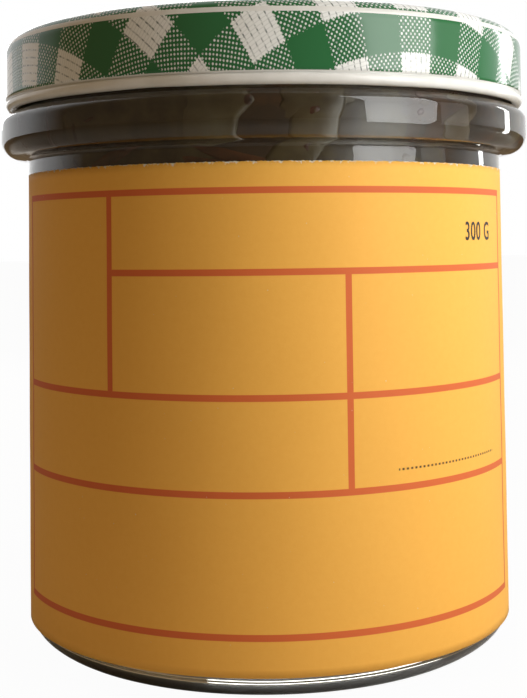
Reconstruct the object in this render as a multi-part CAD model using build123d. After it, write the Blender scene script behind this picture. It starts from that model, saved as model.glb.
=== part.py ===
from build123d import *
import os
from math import degrees

# Kimchi jar: a straight-walled 350 ml glass jar under an 82 mm twist-off cap, packed full of kimchi,
# with a self-adhesive paper label stuck round its front.
# Millimetres, +Z up, front towards -Y. The origin is the centre of the ring that the jar stands on.

# Glass: straight wall, heel and base
body_radius = 39.0            # outside of the straight wall
body_height = 77.1            # from the stand ring up to the end of the straight wall
wall = 2.4                    # glass thickness of the straight wall
floor_thickness = 3.0         # glass between the hollow under the base and the contents
punt_height = 1.4             # hollow under the base
stand_width = 4.0             # flat ring that the jar stands on
heel_width = 4.2              # slanted part of the heel, measured across
heel_height = 3.05            # and measured up
heel_low_round = 7.0
heel_high_round = 4.9
inner_heel_round = 5.5

# Glass: the wide ring under the cap
ring_proud = 4.45             # how far the ring stands out of the wall
ring_bevel_height = 2.1       # rounded underside
ring_face_height = 3.9        # upright face
ring_roof_height = 1.65       # sloping top, up to the neck

# Glass: the neck and its thread
neck_step = 0.7               # how much wider the neck is than the straight wall
rim_round = 1.2
thread_depth = 1.0            # how far a thread ridge stands out of the neck
thread_height = 1.8
thread_sweep = 44.0           # degrees round the neck that each ridge covers
thread_slope = 2.2            # degrees
starts = 6                    # thread ridges, and lugs on the cap
cap_turn = 38.0               # degrees from the front to the nearest lug, as the cap is screwed on

# Cap: drawn tinplate with a rolled lower edge, lugs, a lining and a stepped top
cap_height = 12.05
tinplate = 0.3
skirt_gap = 1.8               # clearance between the thread ridges and the skirt
shoulder_round = 2.9
curl_radius = 0.85            # round section of the rolled edge
curl_proud = 0.1              # how far the rolled edge stands out of the skirt
lining = 0.9                  # thickness of the sealing compound, pressed by the rim
mouth_gap = 0.3               # clearance of the stepped panel inside the mouth
panel_drop = 1.1              # step from the cap's outer bead down to its panel
step_run = 0.7                # and how far across the step slopes
button_radius = 14.0          # round safety button in the middle of the panel
button_rise = 0.5
bend_round = 0.6              # rounds where the tinplate bends at the panel and the button
lug_gap = 0.4                 # clearance between a lug and the neck
lug_height = 1.3
lug_sweep = 10.0              # degrees
lug_lift = 0.2                # lug's lower face above the cap's lower edge
lug_to_thread = 2.75          # from a lug's upper face to the middle of a thread ridge

# Contents and label
headspace = 3.5               # from the contents up to the rim
fill_gap = 0.03               # clearance of the contents inside the glass
fill_round = 1.2              # rounded upper edge of the contents
label_width = 105.5           # measured round the jar
label_bottom = 4.1            # from the stand ring up to the label
label_to_ring = 2.6           # bare glass from the label up to the wide ring
label_thickness = 0.13
adhesive = 0.02               # clearance between the label and the glass

# Worked out from the sizes above
inner_radius = body_radius - wall
floor_top = punt_height + floor_thickness
ring_radius = body_radius + ring_proud
ring_face_bottom = body_height + ring_bevel_height
ring_face_top = ring_face_bottom + ring_face_height
ring_top = ring_face_top + ring_roof_height
neck_radius = body_radius + neck_step
cap_radius = neck_radius + thread_depth + skirt_gap + tinplate
cap_bottom = ring_top
cap_top = cap_bottom + cap_height
rim_top = cap_top - tinplate - lining
fill_top = rim_top - headspace
lug_bottom = cap_bottom + lug_lift
lug_top = lug_bottom + lug_height
label_height = body_height - label_bottom - label_to_ring


def section_of(corners):
    """Closed section through (radius, height, round) corners. The first and last stay sharp."""
    points = [(radius, height) for radius, height, _ in corners]
    rounds = [size for _, _, size in corners[1:-1]]
    outline = FilletPolyline(*points, radius=rounds)
    return make_face(outline + Line(points[-1], points[0]))


def turned(section, sweep=360.0):
    """Solid made by turning a section round the Z axis, spanning `sweep` degrees, centred on -Y."""
    solid = revolve(Plane.XZ * section, Axis.Z, revolution_arc=sweep)
    return Rot(0, 0, -90 - sweep / 2) * solid


def repeated(piece):
    """Copies of a piece, one for each thread start, evenly spaced round the jar."""
    return [Rot(0, 0, cap_turn + 360 / starts * index) * piece for index in range(starts)]


def glass_jar():
    """Pressed glass: hollow base, slanted heel, straight wall, wide ring, threaded neck."""
    heel_start = body_radius - heel_width
    stand_outer = heel_start - heel_low_round * 0.32
    stand_inner = stand_outer - stand_width
    shell = section_of([
        (0, punt_height, 0),
        (stand_inner - punt_height, punt_height, 0.8),
        (stand_inner, 0, 0.5),
        (heel_start, 0, heel_low_round),
        (body_radius, heel_height, heel_high_round),
        (body_radius, body_height, 0.8),
        (ring_radius - 0.28 * ring_proud, body_height + 0.2 * ring_bevel_height, 2.3),
        (ring_radius, ring_face_bottom, 2.8),
        (ring_radius, ring_face_top, 1.5),
        (ring_radius - 0.32 * ring_proud, ring_top - 0.25 * ring_roof_height, 1.8),
        (neck_radius, ring_top, 0.5),
        (neck_radius, rim_top, rim_round),
        (inner_radius, rim_top, rim_round),
        (inner_radius, floor_top, inner_heel_round),
        (0, floor_top, 0),
    ])
    root = neck_radius - rim_round / 2
    crest = neck_radius + thread_depth
    half = thread_height / 2
    ridge = section_of([
        (root, -half, 0),
        (crest, -half / 2, 0.35),
        (crest, half / 2, 0.35),
        (root, half, 0),
    ])
    middle = Pos(0, 0, lug_top + lug_to_thread)
    thread = middle * Rot(0, thread_slope, 0) * turned(ridge, thread_sweep)
    return turned(shell) + repeated(thread)


def cap():
    """Twist-off cap: one tinplate shell with its rolled edge, six lugs and bonded lining."""
    bead_outer = cap_radius - shoulder_round
    bead_inner = inner_radius - mouth_gap
    panel_top = cap_top - panel_drop
    path = FilletPolyline(
        (cap_radius, cap_bottom + curl_radius),
        (cap_radius, cap_top),
        (bead_inner, cap_top),
        (bead_inner - step_run, panel_top),
        (button_radius + step_run, panel_top),
        (button_radius, panel_top + button_rise),
        (0, panel_top + button_rise),
        radius=[shoulder_round] + [bend_round] * 4,
    )
    shell = make_face(offset(Wire(path.edges()), amount=tinplate, side=Side.LEFT))
    curl_middle = Pos(cap_radius + curl_proud - curl_radius, cap_bottom + curl_radius)
    lining_middle = Pos((bead_outer + bead_inner) / 2, cap_top - tinplate - lining / 2)
    curl = curl_middle * Circle(curl_radius)
    seal = lining_middle * Rectangle(bead_outer - bead_inner, lining)
    lug_outer = cap_radius - tinplate / 2
    lug_inner = neck_radius + lug_gap
    lug = section_of([
        (lug_outer, lug_bottom, 0),
        (lug_inner, lug_bottom, 0.4),
        (lug_inner, lug_top, 0.4),
        (lug_outer, lug_top, 0),
    ])
    return turned(shell + curl + seal) + repeated(turned(lug, lug_sweep))


def kimchi():
    """Packed kimchi in its brine: fills the jar from its floor to just under the rim."""
    radius = inner_radius - fill_gap
    low = floor_top + fill_gap
    return turned(section_of([
        (0, low, 0),
        (radius, low, inner_heel_round),
        (radius, fill_top, fill_round),
        (0, fill_top, 0),
    ]))


def label():
    """Straight-cut paper label wrapped round the front of the straight wall."""
    inner = body_radius + adhesive
    middle = Pos(inner + label_thickness / 2, label_bottom + label_height / 2)
    sheet = middle * Rectangle(label_thickness, label_height)
    return turned(sheet, degrees(label_width / inner))


os.makedirs("parts", exist_ok=True)
export_step(glass_jar(), "parts/glass_jar.step")
export_step(cap(), "parts/cap.step")
export_step(kimchi(), "parts/kimchi.step")
export_step(label(), "parts/label.step")
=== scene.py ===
import bmesh
import bpy
import numpy as np
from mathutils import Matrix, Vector


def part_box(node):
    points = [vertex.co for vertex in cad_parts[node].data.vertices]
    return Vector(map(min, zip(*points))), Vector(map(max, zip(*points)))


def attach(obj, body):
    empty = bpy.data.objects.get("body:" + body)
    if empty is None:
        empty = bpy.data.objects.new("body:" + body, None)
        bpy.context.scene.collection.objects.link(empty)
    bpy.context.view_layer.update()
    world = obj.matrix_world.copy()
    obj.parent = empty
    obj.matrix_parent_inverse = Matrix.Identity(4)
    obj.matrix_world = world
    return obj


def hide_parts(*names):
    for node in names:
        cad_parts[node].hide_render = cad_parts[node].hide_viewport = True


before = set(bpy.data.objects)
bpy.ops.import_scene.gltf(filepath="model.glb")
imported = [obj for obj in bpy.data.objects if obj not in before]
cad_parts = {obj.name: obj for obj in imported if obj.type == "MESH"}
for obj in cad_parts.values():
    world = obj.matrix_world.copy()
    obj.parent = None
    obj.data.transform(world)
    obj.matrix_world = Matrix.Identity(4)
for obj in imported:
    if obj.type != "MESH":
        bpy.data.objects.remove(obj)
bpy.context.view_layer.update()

# ---- Room: a pale floor and a white wall behind, lit by a near soft window at the front right, two tall
# panes and a narrow far window further round, and a weak fill from high behind. The camera stands close
# in front of the label, at about two thirds of the jar's height.
MM = 0.001


def linear(hex_colour):
    """Linear RGBA of an sRGB hex colour: the standard sRGB curve, channel by channel."""
    channels = [int(hex_colour[i:i + 2], 16) / 255 for i in (1, 3, 5)]
    curve = [c / 12.92 if c <= 0.04045 else ((c + 0.055) / 1.055) ** 2.4 for c in channels]
    return (*curve, 1.0)


def add_node(tree, kind, settings=None, **inputs):
    """New node of a kind: its settings, then inputs by name or index as a value or a socket."""
    node = tree.nodes.new(kind)
    for name, value in (settings or {}).items():
        setattr(node, name, value)
    for name, value in inputs.items():
        key = int(name[1:]) if name[0] == "i" and name[1:].isdigit() else name.replace("_", " ")
        if isinstance(value, bpy.types.NodeSocket):
            tree.links.new(value, node.inputs[key])
        else:
            node.inputs[key].default_value = value
    return node


camera_data = bpy.data.cameras.new("camera")
camera_data.lens = 65.3
camera_data.shift_x = -0.0013
camera_data.shift_y = -0.235
camera = bpy.data.objects.new("camera", camera_data)
camera.location = (0, -213.6 * MM, 63.7 * MM)
camera.rotation_mode = "ZYX"
camera.rotation_euler = np.radians((92.45, 0, -0.73))
bpy.context.collection.objects.link(camera)
bpy.context.scene.camera = camera
bpy.context.scene.view_settings.view_transform = "Standard"

world = bpy.data.worlds.new("room")
bpy.context.scene.world = world
world.use_nodes = True
room = world.node_tree
room.nodes.clear()
ray = add_node(room, "ShaderNodeLightPath")
direction = add_node(room, "ShaderNodeTexCoord").outputs["Generated"]
toward = add_node(room, "ShaderNodeSeparateXYZ", Vector=direction)
behind = add_node(room, "ShaderNodeMapRange", {"clamp": True}, Value=toward.outputs["Y"],
                  From_Min=0.05, From_Max=0.45, To_Min=0.0, To_Max=1.0)
seen = ray.outputs["Is Camera Ray"]
# A ray bent through glass counts as glossy too, so it is taken away: only true mirror rays see the wall.
bounced = add_node(room, "ShaderNodeMath", {"operation": "SUBTRACT", "use_clamp": True},
                   i0=ray.outputs["Is Glossy Ray"], i1=ray.outputs["Is Transmission Ray"])
mirrored = add_node(room, "ShaderNodeMath", {"operation": "MULTIPLY"},
                    i0=bounced.outputs[0], i1=behind.outputs[0])
white = add_node(room, "ShaderNodeMath", {"operation": "MAXIMUM"}, i0=seen, i1=mirrored.outputs[0])
plain = add_node(room, "ShaderNodeBackground", Color=linear("#FFFFFF"), Strength=1.0)
# What lights the jar and shows through its glass is a dim, warm room, not the white wall.
dim = add_node(room, "ShaderNodeBackground", Color=(0.25, 0.17, 0.095, 1), Strength=0.93)
shown = add_node(room, "ShaderNodeMixShader", i0=white.outputs[0], i1=dim.outputs[0], i2=plain.outputs[0])
add_node(room, "ShaderNodeOutputWorld", Surface=shown.outputs[0])


def softbox(name, azimuth, distance, height, wide, tall, watts, colour="#FFFFFF", aim=50.0):
    """Rectangular lamp at (sin a, -cos a) x distance, with azimuth a from the front and + to the right,
    turned to a point on the jar's axis. Sizes in mm; not seen by the camera."""
    lamp = bpy.data.lights.new(name, "AREA")
    lamp.shape = "RECTANGLE"
    lamp.size = wide * MM
    lamp.size_y = tall * MM
    lamp.energy = watts
    lamp.color = linear(colour)[:3]
    lamp_object = bpy.data.objects.new(name, lamp)
    turn = np.radians(azimuth)
    place = Vector((np.sin(turn) * distance, -np.cos(turn) * distance, height)) * MM
    lamp_object.location = place
    lamp_object.rotation_euler = (Vector((0, 0, aim * MM)) - place).to_track_quat("-Z", "Y").to_euler()
    lamp_object.visible_camera = False
    bpy.context.collection.objects.link(lamp_object)


softbox("near_window", 51, 150, 112, 84, 160, 0.195)
softbox("left_pane", 50, 400, 95, 120, 260, 0.07)
softbox("right_pane", 82, 400, 95, 110, 260, 0.08)
softbox("far_window", 121, 400, 110, 34, 240, 0.22)
softbox("back_fill", 190, 420, 260, 300, 300, 0.75)

FLOOR_HALF = 4.0              # metres
FLOOR_GLOW = 0.97             # share of the floor's own light, to the camera only
floor_mesh = bpy.data.meshes.new("floor")
floor_corners = np.array([(-1, -1, 0), (1, -1, 0), (1, 1, 0), (-1, 1, 0)]) * FLOOR_HALF
floor_mesh.from_pydata(floor_corners.tolist(), [], [(0, 1, 2, 3)])
floor = bpy.data.objects.new("floor", floor_mesh)
bpy.context.collection.objects.link(floor)
paint = bpy.data.materials.new("pale_floor_paint")
paint.use_nodes = True
tree = paint.node_tree
tree.nodes.clear()
matt = add_node(tree, "ShaderNodeBsdfDiffuse", Color=linear("#D8D6D2"))
glow = add_node(tree, "ShaderNodeEmission", Color=linear("#FFFFFF"), Strength=1.0)
ray = add_node(tree, "ShaderNodeLightPath")
share = add_node(tree, "ShaderNodeMath", {"operation": "MULTIPLY"}, i0=ray.outputs["Is Camera Ray"],
                 i1=FLOOR_GLOW)
both = add_node(tree, "ShaderNodeMixShader", i0=share.outputs[0], i1=matt.outputs[0], i2=glow.outputs[0])
add_node(tree, "ShaderNodeOutputMaterial", Surface=both.outputs[0])
floor_mesh.materials.append(paint)

# ---- Glass jar: one piece of clear soda-lime glass with a straight wall, a wide ring under the cap and
# a neck. Forming in a mould leaves faint ripples in the bare band and a little waviness all over.
_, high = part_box("glass_jar")
BODY_R = 39.0
RING_R = high[0] / MM
RIM_Z = high[2] / MM
INNER_R = 36.6
FLOOR_Z = 4.4


def new_piece(name, points, faces, material, uv=None, smooth=True):
    """Mesh object from an array of points in mm and faces, doubles merged, normals outward."""
    mesh = bpy.data.meshes.new(name)
    mesh.from_pydata((np.asarray(points) * MM).tolist(), [], faces)
    if uv is not None:
        layer = mesh.uv_layers.new(name="print")
        corner = np.empty(len(mesh.loops), dtype=np.int32)
        mesh.loops.foreach_get("vertex_index", corner)
        layer.data.foreach_set("uv", np.asarray(uv, dtype=np.float32)[corner].ravel())
    work = bmesh.new()
    work.from_mesh(mesh)
    bmesh.ops.remove_doubles(work, verts=work.verts, dist=1e-6)
    bmesh.ops.dissolve_degenerate(work, edges=work.edges, dist=1e-7)
    bmesh.ops.recalc_face_normals(work, faces=work.faces)
    work.to_mesh(mesh)
    work.free()
    mesh.polygons.foreach_set("use_smooth", [smooth] * len(mesh.polygons))
    mesh.materials.append(material)
    piece = bpy.data.objects.new(name, mesh)
    bpy.context.collection.objects.link(piece)
    return piece


def grid_faces(rows, columns, wrap=True):
    """Quads of a rows by columns grid of points; with wrap the last column joins the first."""
    last = columns if wrap else columns - 1
    row, column = np.meshgrid(np.arange(rows - 1), np.arange(last), indexing="ij")
    right = (column + 1) % columns
    quads = np.stack([row * columns + column, row * columns + right,
                      (row + 1) * columns + right, (row + 1) * columns + column], -1)
    return quads.reshape(-1, 4).tolist()


def rounded(corners, steps=8):
    """Polyline through (radius, height, round) corners; each corner is a quadratic curve whose arms
    are as long as its round, which is close to an arc."""
    points = np.array([c[:2] for c in corners], float)
    line = [points[0]]
    for before, corner, after, size in zip(points, points[1:], points[2:], [c[2] for c in corners[1:-1]]):
        start = corner + (before - corner) / np.linalg.norm(before - corner) * size
        end = corner + (after - corner) / np.linalg.norm(after - corner) * size
        t = np.linspace(0, 1, steps)[:, None]
        line.extend((1 - t) ** 2 * start + 2 * t * (1 - t) * corner + t ** 2 * end)
    line.append(points[-1])
    return np.array(line)


def turned(profile, columns):
    """Points of a profile of (radius, height) rows carried round the Z axis from the back, and angle."""
    angle = np.linspace(0, 2 * np.pi, columns, endpoint=False) + np.pi
    radius, height = profile[:, 0][:, None], profile[:, 1][:, None]
    x = radius * np.sin(angle)
    y = -radius * np.cos(angle)
    z = height + 0 * angle
    return np.stack([x, y, z], -1), angle


glass_material = bpy.data.materials.new("clear_pressed_glass")
glass_material.use_nodes = True
tree = glass_material.node_tree
tree.nodes.clear()
# Moulded soda-lime glass: clear with the faintest green, nearly mirror-smooth but slightly wavy. To a
# shadow ray it is a plain tint, so that the lamps reach the contents.
place = add_node(tree, "ShaderNodeTexCoord").outputs["Object"]
wave = add_node(tree, "ShaderNodeTexNoise", Vector=place, Scale=90.0, Detail=1.0)
bump = add_node(tree, "ShaderNodeBump", Strength=0.10, Distance=0.0006, Height=wave.outputs[0])
glass = add_node(tree, "ShaderNodeBsdfPrincipled", Base_Color=linear("#F3F8F4"), Roughness=0.02,
                 IOR=1.5, Transmission_Weight=1.0, Normal=bump.outputs[0])
shade = add_node(tree, "ShaderNodeBsdfTransparent", Color=linear("#E4EBE6"))
ray = add_node(tree, "ShaderNodeLightPath")
through = add_node(tree, "ShaderNodeMixShader", i0=ray.outputs["Is Shadow Ray"], i1=glass.outputs[0],
                   i2=shade.outputs[0])
add_node(tree, "ShaderNodeOutputMaterial", Surface=through.outputs[0])

# From the middle of the base outwards, up the wall, over the ring and the neck, and down the inside.
glass_outline = rounded([
    (0, 1.4, 0), (27.2, 1.4, 1.0), (28.6, 0, 0.6), (34.8, 0, 2.6), (BODY_R, 3.05, 2.5),
    (BODY_R, 77.1, 0.7), (RING_R - 1.25, 77.5, 1.0), (RING_R, 79.2, 0.95), (RING_R, 83.1, 0.7),
    (RING_R - 1.4, 84.35, 0.5), (39.7, 84.75, 0.5), (39.7, RIM_Z, 1.2), (INNER_R, RIM_Z, 1.2),
    (INNER_R, FLOOR_Z, 5.5), (0, FLOOR_Z, 0)])
wall_rows = np.linspace(0, 1, 60)[1:-1, None]
lower = np.argmax((glass_outline[:, 0] > BODY_R - 0.01) & (glass_outline[:, 1] > 5))
below_ring = glass_outline[lower] * (1 - wall_rows) + glass_outline[lower + 1] * wall_rows
glass_outline = np.insert(glass_outline, lower + 1, below_ring, axis=0)
points, angle = turned(glass_outline, 360)
# Forming ripples: a few low waves of the outer wall in the bare band above the label.
RIPPLE_Z = 75.6
RIPPLE_SPREAD = 1.1
RIPPLE_HEIGHT = 0.06
RIPPLE_PITCH = 0.95
height = points[..., 2]
ripple = RIPPLE_HEIGHT * np.sin(height * 2 * np.pi / RIPPLE_PITCH)
ripple = ripple * np.exp(-((height - RIPPLE_Z) / RIPPLE_SPREAD) ** 2)
outer_wall = np.hypot(points[..., 0], points[..., 1]) > BODY_R - 1
points[..., :2] *= 1 + np.where(outer_wall, ripple, 0)[..., None] / BODY_R
jar = new_piece("jar_glass", points.reshape(-1, 3), grid_faces(*points.shape[:2]), glass_material)
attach(jar, "root")
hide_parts("glass_jar")

# ---- Kimchi brine and pulp: the dark soy-brown body of the contents, filling the jar to under the rim.
# It reaches just into the glass wall, so that the glass and the contents meet with no film of air.
_, kimchi_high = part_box("kimchi")
FILL_Z = kimchi_high[2] / MM
WET_R = INNER_R + 0.12

brine_material = bpy.data.materials.new("murky_brine")
brine_material.use_nodes = True
tree = brine_material.node_tree
tree.nodes.clear()
place = add_node(tree, "ShaderNodeTexCoord").outputs["Object"]
cloud = add_node(tree, "ShaderNodeTexNoise", Vector=place, Scale=130.0, Detail=5.0, Roughness=0.6)
tint = add_node(tree, "ShaderNodeValToRGB", Fac=cloud.outputs[0])
tint.color_ramp.elements[0].position = 0.35
tint.color_ramp.elements[0].color = linear("#180D06")
tint.color_ramp.elements[1].position = 0.68
tint.color_ramp.elements[1].color = linear("#4A2D14")
olive = tint.color_ramp.elements.new(0.52)
olive.color = linear("#2A1A0B")
body = add_node(tree, "ShaderNodeBsdfPrincipled", Base_Color=tint.outputs[0], Roughness=0.35)
add_node(tree, "ShaderNodeOutputMaterial", Surface=body.outputs[0])

rng = np.random.default_rng(82)
core_outline = rounded([
    (0, FLOOR_Z - 0.1, 0), (WET_R, FLOOR_Z - 0.1, 5.2), (WET_R, FILL_Z, 1.0), (0, FILL_Z, 0)])
rise = np.linspace(0, 1, 120)[1:-1, None]
side = np.argmax((core_outline[:, 0] > WET_R - 0.01) & (core_outline[:, 1] > 8))
tall_side = core_outline[side] * (1 - rise) + core_outline[side + 1] * rise
core_outline = np.insert(core_outline, side + 1, tall_side, axis=0)
points, angle = turned(core_outline, 300)
# A surface not quite round: a product of two waves, round the jar and up it, 0.02 mm deep.
HOLLOW_DEPTH = 0.02
height = points[..., 2]
up_wave = np.sin(height * 0.55 + 2.2 * np.sin(angle * 5))
round_wave = np.sin(angle * 11 + height * 0.21)
hollow = 0.5 + 0.5 * up_wave * round_wave
points[..., :2] *= 1 - HOLLOW_DEPTH / WET_R * hollow[..., None]
core = new_piece("kimchi_brine", points.reshape(-1, 3), grid_faces(*points.shape[:2]), brine_material)
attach(core, "root")
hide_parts("kimchi")


# ---- Vegetables against the glass: torn napa cabbage leaves and ribs, carrot and radish sticks and chili
# flakes, fermented and packed down, each pressed flat to the wall and part sunk in the brine.
def vegetable(name, colours, roughness, scale):
    """Wet fermented flesh: three tones by noise of a given scale, darkened toward dark brown over the front
    of the jar and in patches behind, with a soft sheen.
    """
    material = bpy.data.materials.new(name)
    material.use_nodes = True
    tree = material.node_tree
    tree.nodes.clear()
    place = add_node(tree, "ShaderNodeTexCoord").outputs["Object"]
    grain = add_node(tree, "ShaderNodeTexNoise", Vector=place, Scale=scale, Detail=4.0, Roughness=0.6)
    tint = add_node(tree, "ShaderNodeValToRGB", Fac=grain.outputs[0])
    tint.color_ramp.elements[0].position = 0.36
    tint.color_ramp.elements[0].color = linear(colours[0])
    tint.color_ramp.elements[1].position = 0.66
    tint.color_ramp.elements[1].color = linear(colours[2])
    tint.color_ramp.elements.new(0.5).color = linear(colours[1])
    # Mixed toward dark brown: strongly over the whole front of the jar, and in brine patches behind.
    split = add_node(tree, "ShaderNodeSeparateXYZ", Vector=place)
    front = add_node(tree, "ShaderNodeMapRange", {"clamp": True}, Value=split.outputs["Y"],
                     From_Min=0.004, From_Max=-0.012, To_Min=0.0, To_Max=0.9)
    patch = add_node(tree, "ShaderNodeTexNoise", Vector=place, Scale=75.0, Detail=3.0)
    patchy = add_node(tree, "ShaderNodeMapRange", {"clamp": True}, Value=patch.outputs[0],
                      From_Min=0.38, From_Max=0.66, To_Min=0.15, To_Max=0.75)
    darkening = add_node(tree, "ShaderNodeMath", {"operation": "MAXIMUM"}, i0=front.outputs[0],
                     i1=patchy.outputs[0])
    darkened_flesh = add_node(tree, "ShaderNodeMix", {"data_type": "RGBA"}, Factor=darkening.outputs[0],
                    A=tint.outputs[0], B=linear("#1E1107"))
    flesh = add_node(tree, "ShaderNodeBsdfPrincipled", Base_Color=darkened_flesh.outputs["Result"],
                     Roughness=roughness)
    add_node(tree, "ShaderNodeOutputMaterial", Surface=flesh.outputs[0])
    return material


def pressed_pieces(count, length, width, lift, tilt, raggedness, thick, steps):
    """Closed pillow-like pieces bent round the wall. Each is a grid in (u, v) from -1 to 1: its outline
    is narrowed by sqrt(1 - 0.92 |u|^3) and ragged waves, its top swells by (1 - u^6)(1 - v^4) times
    `lift`, it is turned by an angle within `tilt`, and then wrapped onto the cylinder of the wall."""
    along, across = steps
    u, v = np.meshgrid(np.linspace(-1, 1, along), np.linspace(-1, 1, across), indexing="ij")
    face = np.array(grid_faces(along, across, wrap=False))
    bottom = face[:, ::-1] + along * across
    edge = np.concatenate([np.arange(across), np.arange(2 * across - 1, along * across, across),
                           np.arange(along * across - 2, along * across - across - 1, -1),
                           np.arange(along * across - 2 * across, 0, -across)])
    following = np.roll(edge, -1)
    skirt = np.stack([following, edge, edge + along * across, following + along * across], -1)
    shape = np.concatenate([face, bottom, skirt])
    points, faces = [], []
    for index in range(count):
        long, wide = rng.uniform(*length), rng.uniform(*width)
        wobble = rng.uniform(0, 6.28, 4)
        narrowing = np.sqrt(1 - np.abs(u) ** 3 * 0.92)
        rag = 1 + raggedness * (np.sin(u * 5 + wobble[0]) * 0.6 + np.sin(u * 11 + wobble[1]) * 0.4)
        x = u * long / 2 * (1 + raggedness * 0.5 * np.sin(v * 4 + wobble[2]))
        y = v * wide / 2 * narrowing * rag + rng.uniform(-0.12, 0.12) * long * u ** 2
        swell = (1 - u ** 6) * (1 - v ** 4) * lift * rng.uniform(0.5, 1.0)
        swell = swell * (1 + 0.25 * np.sin(u * 4 + v * 3 + wobble[3]))
        turn = np.radians(rng.uniform(*tilt))
        across_wall = x * np.cos(turn) - y * np.sin(turn)
        up_wall = x * np.sin(turn) + y * np.cos(turn)
        spin = rng.uniform(-np.pi, np.pi)
        middle = rng.uniform(FLOOR_Z + WALL_MARGIN, FILL_Z - WALL_MARGIN)
        height = np.clip(middle + up_wall, FLOOR_Z + WALL_MARGIN, FILL_Z - 1)
        theta = spin + across_wall / WET_R
        top = WET_R - 0.04 + swell
        for radius in (top, WET_R - thick + 0 * top):
            layer = np.stack([radius * np.sin(theta), -radius * np.cos(theta), height], -1)
            points.append(layer.reshape(-1, 3))
        faces.append(shape + index * 2 * along * across)
    return np.concatenate(points), np.concatenate(faces).tolist()


cabbage_leaf = vegetable("fermented_cabbage", ("#4A3A1C", "#7A6636", "#A8935C"), 0.3, 210.0)
cabbage_rib = vegetable("fermented_cabbage_rib", ("#8A7444", "#B49E68", "#CFC08E"), 0.3, 160.0)
carrot = vegetable("fermented_carrot", ("#7E3710", "#B5561B", "#C96C26"), 0.3, 200.0)
radish = vegetable("fermented_radish", ("#8F6E48", "#B89A6C", "#CDB58A"), 0.3, 200.0)
chili = vegetable("chili_flake", ("#5A1408", "#8E2410", "#A8381A"), 0.35, 500.0)
WALL_MARGIN = 5.0             # clear height kept at the floor and under the fill line
STEPS = (17, 9)               # grid of a piece along and across
FLAKE_STEPS = (5, 5)
# Name, material, count, range of length and of width, lift off the wall, tilt, raggedness, thickness.
kinds = [
    ("cabbage_leaves", cabbage_leaf, 95, (14, 30), (8, 18), 0.10, (-80, 80), 0.16, 0.8),
    ("cabbage_ribs", cabbage_rib, 42, (12, 26), (4, 9), 0.20, (-70, 70), 0.10, 0.9),
    ("carrot_sticks", carrot, 46, (12, 30), (1.5, 2.8), 0.24, (-60, 60), 0.03, 0.9),
    ("radish_sticks", radish, 36, (9, 22), (2.0, 4.0), 0.22, (-60, 60), 0.03, 0.9),
    ("chili_flakes", chili, 330, (0.8, 3.0), (0.6, 1.7), 0.30, (-90, 90), 0.15, 0.3),
]
for name, material, count, length, width, lift, tilt, rag, thick in kinds:
    steps = FLAKE_STEPS if name == "chili_flakes" else STEPS
    mesh_points, mesh_faces = pressed_pieces(count, length, width, lift, tilt, rag, thick, steps)
    piece = new_piece(name, mesh_points, mesh_faces, material)
    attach(piece, "root")

# ---- Label: a paper label printed solid orange with a red-orange ruled frame, stuck round the front.
# It is cut straight, and its upper edge is a little frayed to white.
label_low, label_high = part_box("label")
LABEL_LOW = label_low[2] / MM
LABEL_HIGH = label_high[2] / MM
LABEL_R = 39.15
LABEL_HALF = 52.75            # half of its width, measured round the jar
RULE = 0.95                   # thickness of the ruled lines
RULE_HEIGHTS = (70.5, 59.15, 41.9, 28.7, 9.5)
FRAME_HALF = 47.6             # from the middle to the frame's upright sides
COLUMN_LEFT = -23.8
COLUMN_RIGHT = 11.7
DOTS = (19.1, 41.6, 31.2)     # dotted line to write on: from, to, height
DOT_PITCH = 0.75

label_material = bpy.data.materials.new("printed_label_paper")
label_material.use_nodes = True
tree = label_material.node_tree
tree.nodes.clear()
# Matt paper under solid ink: faint fibre mottle, a fine grain in its relief and a few white specks.
sheet_uv = add_node(tree, "ShaderNodeUVMap", {"uv_map": "print"}).outputs[0]
split = add_node(tree, "ShaderNodeSeparateXYZ", Vector=sheet_uv)
ACROSS, UP = split.outputs["X"], split.outputs["Y"]


def math_node(operation, first, second=0.0, third=0.0):
    """One Math node of the current tree; returns its output."""
    node = add_node(tree, "ShaderNodeMath", {"operation": operation}, i0=first, i1=second, i2=third)
    return node.outputs[0]


def band(value, middle, width, soft=0.06):
    """1 inside a band of a given width round `middle`, falling to 0 over `soft`, in mm."""
    away = math_node("ABSOLUTE", math_node("SUBTRACT", value, middle))
    return add_node(tree, "ShaderNodeMapRange", {"clamp": True}, Value=away, From_Min=width / 2 - soft / 2,
                    From_Max=width / 2 + soft / 2, To_Min=1.0, To_Max=0.0).outputs[0]


def ruled(horizontal, at, start, end, thickness=RULE):
    """A ruled line at a height (or at a place across), running from start to end."""
    value, other = (UP, ACROSS) if horizontal else (ACROSS, UP)
    length = band(other, (start + end) / 2, end - start)
    return math_node("MULTIPLY", band(value, at, thickness), length)


def joined(masks):
    """The greatest of several masks."""
    total = masks[0]
    for mask in masks[1:]:
        total = math_node("MAXIMUM", total, mask)
    return total


first, second, third, fourth, fifth = RULE_HEIGHTS
half_rule = RULE / 2
frame_lines = [ruled(True, at, -FRAME_HALF, FRAME_HALF) for at in (first, third, fourth, fifth)]
frame_lines += [
    ruled(True, second, COLUMN_LEFT, FRAME_HALF),
    ruled(False, COLUMN_LEFT, third, first),
    ruled(False, COLUMN_RIGHT, fourth, second),
    ruled(False, -FRAME_HALF + half_rule / 2, fifth - half_rule, first + half_rule, RULE * 0.75),
    ruled(False, FRAME_HALF - half_rule / 2, fifth - half_rule, first + half_rule, RULE * 0.75),
]
rules = joined(frame_lines)
dot_phase = math_node("FRACT", math_node("DIVIDE", ACROSS, DOT_PITCH))
dots = math_node("MULTIPLY", band(dot_phase, 0.5, 0.5, 0.3),
                 ruled(True, DOTS[2], DOTS[0], DOTS[1], 0.3))
fibre = add_node(tree, "ShaderNodeTexNoise", Vector=sheet_uv, Scale=0.9, Detail=6.0, Roughness=0.65)
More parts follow.
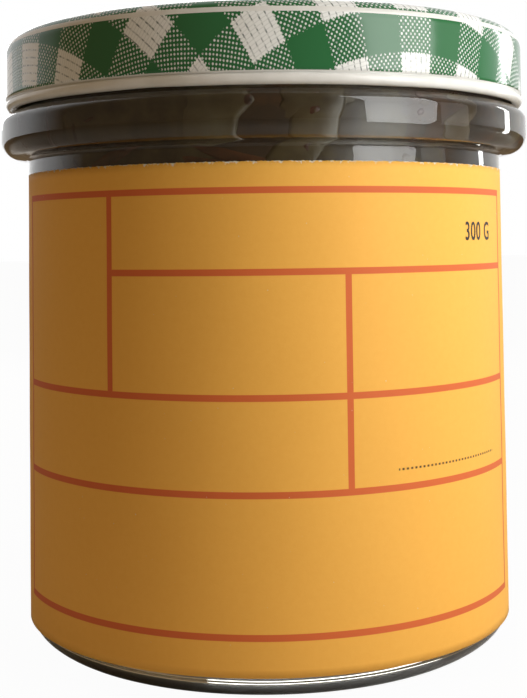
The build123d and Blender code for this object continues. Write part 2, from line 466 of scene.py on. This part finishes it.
paper = add_node(tree, "ShaderNodeMix", {"data_type": "RGBA"}, Factor=fibre.outputs[0],
                 A=linear("#F7B850"), B=linear("#FDC25A"))
inked = add_node(tree, "ShaderNodeMix", {"data_type": "RGBA"}, Factor=rules, A=paper.outputs["Result"],
                 B=linear("#DC6E3C"))
written = add_node(tree, "ShaderNodeMix", {"data_type": "RGBA"}, Factor=dots, A=inked.outputs["Result"],
                   B=linear("#4A3A24"))
fray = add_node(tree, "ShaderNodeTexNoise", Vector=sheet_uv, Scale=1.1, Detail=5.0, Roughness=0.75)
torn = math_node("MULTIPLY", math_node("SUBTRACT", fray.outputs[0], 0.50), 2.6)
white_edge = math_node("GREATER_THAN", math_node("ADD", UP, torn), LABEL_HIGH - 0.02)
speck = add_node(tree, "ShaderNodeTexNoise", Vector=sheet_uv, Scale=2.3, Detail=2.0)
specks = math_node("GREATER_THAN", speck.outputs[0], 0.775)
bare = math_node("MAXIMUM", white_edge, specks)
finished = add_node(tree, "ShaderNodeMix", {"data_type": "RGBA"}, Factor=bare, A=written.outputs["Result"],
                    B=linear("#EFE6D6"))
grain = add_node(tree, "ShaderNodeTexNoise", Vector=sheet_uv, Scale=3.5, Detail=5.0)
relief = add_node(tree, "ShaderNodeBump", Strength=0.12, Distance=0.0001, Height=grain.outputs[0])
surface = add_node(tree, "ShaderNodeBsdfPrincipled", Base_Color=finished.outputs["Result"], Roughness=0.62,
                   Specular_IOR_Level=0.25, Normal=relief.outputs[0])
add_node(tree, "ShaderNodeOutputMaterial", Surface=surface.outputs[0])

# The sheet: a grid round the front, with its four cut edges turned in to the glass.
columns = np.concatenate([[-LABEL_HALF], np.linspace(-LABEL_HALF, LABEL_HALF, 420), [LABEL_HALF]])
rows = np.concatenate([[LABEL_LOW], np.linspace(LABEL_LOW, LABEL_HIGH, 60), [LABEL_HIGH]])
across, up = np.meshgrid(columns, rows, indexing="xy")
edge_wave = 0.05 * np.sin(across * 2.1) * np.sin(across * 5.3 + 1) + 0.03 * np.sin(across * 13.0)
up_cut = up + np.where(up > LABEL_HIGH - 0.5, edge_wave, 0)
blister = 0.025 * np.sin(across * 0.33 + up * 0.11) * np.sin(up * 0.19 - across * 0.07)
radius = LABEL_R + blister
inner_edge = np.zeros_like(radius, dtype=bool)
inner_edge[[0, -1], :] = True
inner_edge[:, [0, -1]] = True
radius[inner_edge] = BODY_R + 0.01
theta = across / LABEL_R
sheet_points = np.stack([radius * np.sin(theta), -radius * np.cos(theta), up_cut], -1).reshape(-1, 3)
sheet_faces = grid_faces(*across.shape, wrap=False)
back = sheet_points.copy()
back[:, :2] *= ((BODY_R + 0.01) / np.hypot(back[:, 0], back[:, 1]))[:, None]
back_faces = (np.array(sheet_faces)[:, ::-1] + len(sheet_points)).tolist()
print_uv = np.stack([across, up], -1).reshape(-1, 2)
label = new_piece("label_sheet", np.concatenate([sheet_points, back]), sheet_faces + back_faces,
                  label_material, uv=np.concatenate([print_uv, print_uv]))
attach(label, "root")
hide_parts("label")

# ---- Net weight: narrow dark capitals printed on the label, at the right end of its top row. The letters
# are made as a flat mesh, then bent onto the label and stood just proud of it.
TEXT_LEFT = 33.8
TEXT_RIGHT = 41.8
TEXT_LOW = 63.15
TEXT_HIGH = 65.95
ink = bpy.data.materials.new("black_label_ink")
ink.use_nodes = True
tree = ink.node_tree
tree.nodes.clear()
place = add_node(tree, "ShaderNodeTexCoord").outputs["Object"]
mottle = add_node(tree, "ShaderNodeTexNoise", Vector=place, Scale=2500.0)
tone = add_node(tree, "ShaderNodeMix", {"data_type": "RGBA"}, Factor=mottle.outputs[0],
                A=linear("#1E1A16"), B=linear("#332A20"))
surface = add_node(tree, "ShaderNodeBsdfPrincipled", Base_Color=tone.outputs["Result"], Roughness=0.6)
add_node(tree, "ShaderNodeOutputMaterial", Surface=surface.outputs[0])
words = bpy.data.curves.new("net_weight", "FONT")
words.body = "300 G"
words.offset = 0.012
words.space_character = 1.12
words.fill_mode = "FRONT"
source = bpy.data.objects.new("net_weight_source", words)
bpy.context.collection.objects.link(source)
flat = bpy.data.meshes.new_from_object(source.evaluated_get(bpy.context.evaluated_depsgraph_get()))
bpy.data.objects.remove(source)
outline = np.empty(len(flat.vertices) * 3)
flat.vertices.foreach_get("co", outline)
outline = outline.reshape(-1, 3)
start, end = outline.min(0), outline.max(0)
share = (outline - start)[:, :2] / (end - start)[:2]
theta = (TEXT_LEFT + share[:, 0] * (TEXT_RIGHT - TEXT_LEFT)) / LABEL_R
height = TEXT_LOW + share[:, 1] * (TEXT_HIGH - TEXT_LOW)
INK_R = LABEL_R + 0.045       # clear of the label's low blisters
lettering = np.stack([INK_R * np.sin(theta), -INK_R * np.cos(theta), height], -1) * MM
flat.vertices.foreach_set("co", lettering.ravel())
flat.materials.clear()
flat.materials.append(ink)
flat.name = "net_weight_print"
lettering_piece = bpy.data.objects.new("net_weight_print", flat)
bpy.context.collection.objects.link(lettering_piece)
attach(lettering_piece, "root")

# ---- Cap: twist-off lid of thin tinplate, printed flat with a green and white check and lacquered, then
# drawn to a cup. The rolled lower edge is left white, and is pinched in at the six lugs.
cap_low, cap_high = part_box("cap")
CAP_LOW = cap_low[2] / MM
CAP_TOP = cap_high[2] / MM
CAP_R = 42.8
SHOULDER = 2.9
CURL = 0.85
TIN = 0.3                     # drawn thicker than real tinplate, which is about 0.2
LUGS = 6
LUG_TURN = np.radians(38)
PANEL_DROP = 1.1              # the sunk panel inside the top's bead
BUTTON_RISE = 0.5
PINCH_IN = 0.42
PINCH_UP = 0.22
CHECK = 11.7                  # one green and one white stripe of the check, in the flat sheet
WHITE_SHARE = 0.482
CHECK_TURN = np.radians(30.2)
CHECK_SHIFT = (8.85, 10.77)
DRAW = 0.881                  # flat sheet used up by each mm of drawn wall
THREAD = 1.02                 # spacing of the printed dark threads
DOT = 0.80                    # spacing of the white stitch dots, twice what shows between rows
TOOTH = 0.5

arc = np.linspace(0, np.pi / 2, 12)
panel_z = CAP_TOP - PANEL_DROP
button_z = panel_z + BUTTON_RISE
# Rows of the printed face: the button, the panel and the bead, then the shoulder's arc and the skirt.
outer = [(0, button_z), (8, button_z), (13.4, button_z), (14, button_z - 0.08), (14.7, panel_z + 0.06),
         (15.3, panel_z), (25, panel_z), (34.8, panel_z), (35.4, panel_z + 0.1),
         (36.1, CAP_TOP - 0.15), (36.6, CAP_TOP), (38.2, CAP_TOP)]
shoulder_row = len(outer)
outer += list(zip(CAP_R - SHOULDER + SHOULDER * np.sin(arc), CAP_TOP - SHOULDER + SHOULDER * np.cos(arc)))
outer += [(CAP_R, height) for height in np.linspace(CAP_TOP - SHOULDER - 0.5, CAP_LOW + 2 * CURL + 0.2, 16)]
outer_count = len(outer)
roll = np.linspace(np.radians(75), np.radians(-190), 22)
curl = [(CAP_R + 0.1 - CURL + CURL * np.cos(a), CAP_LOW + CURL + CURL * np.sin(a)) for a in roll]
inside = [(CAP_R - TIN, CAP_LOW + 2 * CURL + 0.3), (CAP_R - TIN, CAP_TOP - SHOULDER),
          (CAP_R - TIN - 1.1, CAP_TOP - 1.2), (CAP_R - SHOULDER, CAP_TOP - TIN), (36.5, CAP_TOP - TIN),
          (35.3, panel_z - TIN), (0, panel_z - TIN)]
profile = np.array(outer + curl + inside)
points, angle = turned(profile, 540)
# Each lug pinches the rolled edge in and up: a bell curve of the angle to the nearest lug, times one of
# the height above the edge.
PINCH_SPREAD = np.radians(6.5)
to_lug = np.angle(np.exp(1j * (angle - LUG_TURN) * LUGS)) / LUGS
pinch = np.exp(-(to_lug / PINCH_SPREAD) ** 2)
at_curl = np.exp(-((profile[:, 1] - CAP_LOW - CURL) / 1.1) ** 2)[:, None] * (profile[:, 0] > 40)[:, None]
points[..., :2] *= (1 - PINCH_IN * at_curl * pinch / CAP_R)[..., None]
points[..., 2] += PINCH_UP * at_curl * pinch
# Flat-sheet radius of each row: its own radius on the top, and past the shoulder's start that start's
# radius plus the length of wall since, times the share of sheet the drawing used.
face_rows = profile[:outer_count]
wall = np.concatenate([[0], np.cumsum(np.hypot(*np.diff(face_rows, axis=0).T))])
drawn = CAP_R - SHOULDER + (wall - wall[shoulder_row]) * DRAW
blank = np.where(np.arange(outer_count) < shoulder_row, face_rows[:, 0], drawn)
blank = np.concatenate([blank, np.full(len(profile) - outer_count, blank[-1])])[:, None]
cap_uv = np.stack([blank * np.sin(angle), -blank * np.cos(angle)], -1).reshape(-1, 2)

print_material = bpy.data.materials.new("lithographed_tinplate_lacquer")
print_material.use_nodes = True
tree = print_material.node_tree
tree.nodes.clear()
# Ink under clear lacquer: white where two white stripes cross, green where two green ones do, and green
# set with rows of white stitch dots where they differ; thin dark threads run over the white.
sheet_uv = add_node(tree, "ShaderNodeUVMap", {"uv_map": "print"}).outputs[0]
turned_uv = add_node(tree, "ShaderNodeVectorRotate", {"rotation_type": "Z_AXIS"}, Vector=sheet_uv,
                     Angle=-CHECK_TURN)
split = add_node(tree, "ShaderNodeSeparateXYZ", Vector=turned_uv.outputs[0])
warp = math_node("SUBTRACT", split.outputs["X"], CHECK_SHIFT[0])
weft = math_node("SUBTRACT", split.outputs["Y"], CHECK_SHIFT[1])


def stripe(value, other, start, width):
    """1 over the white stripes of one direction, with teeth of the stitch spacing along their edges."""
    saw = math_node("FRACT", math_node("DIVIDE", other, TOOTH))
    tooth = math_node("ABSOLUTE", math_node("SUBTRACT", saw, 0.5))
    jagged = math_node("ADD", value, math_node("MULTIPLY", math_node("SUBTRACT", tooth, 0.25), 0.5))
    phase = math_node("FRACT", math_node("DIVIDE", jagged, CHECK))
    away = math_node("ABSOLUTE", math_node("SUBTRACT", phase, start + width / 2))
    return add_node(tree, "ShaderNodeMapRange", {"clamp": True}, Value=away, From_Min=width / 2 - 0.006,
                    From_Max=width / 2 + 0.006, To_Min=1.0, To_Max=0.0).outputs[0]


def wave_of(value, pitch):
    """Sine of a length, with the given pitch."""
    return math_node("SINE", math_node("MULTIPLY", value, 2 * np.pi / pitch))


warp_white = stripe(warp, weft, 0.0, WHITE_SHARE)
weft_white = stripe(weft, warp, WHITE_SHARE, 1 - WHITE_SHARE)
both_white = math_node("MULTIPLY", warp_white, weft_white)
either = math_node("MAXIMUM", warp_white, weft_white)
lattice = math_node("MULTIPLY", wave_of(warp, DOT), wave_of(weft, DOT))
worn = add_node(tree, "ShaderNodeTexNoise", Vector=sheet_uv, Scale=1.1, Detail=3.0)
level = math_node("ADD", 0.36, math_node("MULTIPLY", math_node("SUBTRACT", worn.outputs[0], 0.5), 0.9))
dot_mask = add_node(tree, "ShaderNodeMapRange", {"clamp": True}, Value=math_node("SUBTRACT", lattice, level),
                    From_Min=-0.12, From_Max=0.18, To_Min=0.0, To_Max=0.82).outputs[0]
dots = math_node("MULTIPLY", either, dot_mask)
pale = math_node("MAXIMUM", both_white, dots)
broken = add_node(tree, "ShaderNodeTexNoise", Vector=turned_uv.outputs[0], Scale=1.6, Detail=3.0)
line = math_node("GREATER_THAN", wave_of(warp, THREAD), 0.80)
fine = math_node("GREATER_THAN", wave_of(weft, THREAD / 2), 0.7)
strength = math_node("MULTIPLY", math_node("SUBTRACT", broken.outputs[0], 0.38), 3.2)
dark = math_node("MULTIPLY", line, math_node("MINIMUM", math_node("MAXIMUM", strength, 0.08), 0.8))
faint = math_node("MAXIMUM", dark, math_node("MULTIPLY", fine, 0.14))
cloth = add_node(tree, "ShaderNodeMix", {"data_type": "RGBA"}, Factor=faint, A=linear("#EEF2F0"),
                 B=linear("#2F4A45"))
ground = add_node(tree, "ShaderNodeMix", {"data_type": "RGBA"}, Factor=pale, A=linear("#2A6B40"),
                  B=cloth.outputs["Result"])
ripple_noise = add_node(tree, "ShaderNodeTexNoise", Vector=sheet_uv, Scale=0.12, Detail=1.0)
relief = add_node(tree, "ShaderNodeBump", Strength=0.25, Distance=0.0004, Height=ripple_noise.outputs[0])
surface = add_node(tree, "ShaderNodeBsdfPrincipled", Base_Color=ground.outputs["Result"], Roughness=0.14,
                   Specular_IOR_Level=0.5, Normal=relief.outputs[0])
add_node(tree, "ShaderNodeOutputMaterial", Surface=surface.outputs[0])

# Stoved enamel on tin: even, slightly warm white with a soft gloss.
enamel = bpy.data.materials.new("white_tinplate_enamel")
enamel.use_nodes = True
tree = enamel.node_tree
tree.nodes.clear()
place = add_node(tree, "ShaderNodeTexCoord").outputs["Object"]
mottle = add_node(tree, "ShaderNodeTexNoise", Vector=place, Scale=400.0, Detail=3.0)
tone = add_node(tree, "ShaderNodeMix", {"data_type": "RGBA"}, Factor=mottle.outputs[0], A=linear("#DADCD8"),
                B=linear("#EEF0EC"))
surface = add_node(tree, "ShaderNodeBsdfPrincipled", Base_Color=tone.outputs["Result"], Roughness=0.22)
add_node(tree, "ShaderNodeOutputMaterial", Surface=surface.outputs[0])

cap = new_piece("cap_shell", points.reshape(-1, 3), grid_faces(*points.shape[:2]), print_material, uv=cap_uv)
cap.data.materials.append(enamel)
centres = np.empty(len(cap.data.polygons) * 3)
cap.data.polygons.foreach_get("center", centres)
centres = centres.reshape(-1, 3) / MM
around = np.hypot(centres[:, 0], centres[:, 1])
# The rolled edge and the inside of the cup are white enamel.
rolled = centres[:, 2] < CAP_LOW + 2 * CURL + 0.1
inner_face = (around < CAP_R - 0.15) & (centres[:, 2] < panel_z - 0.2)
unprinted = rolled | inner_face
cap.data.polygons.foreach_set("material_index", unprinted.astype(np.int32))
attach(cap, "root")
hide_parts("cap")
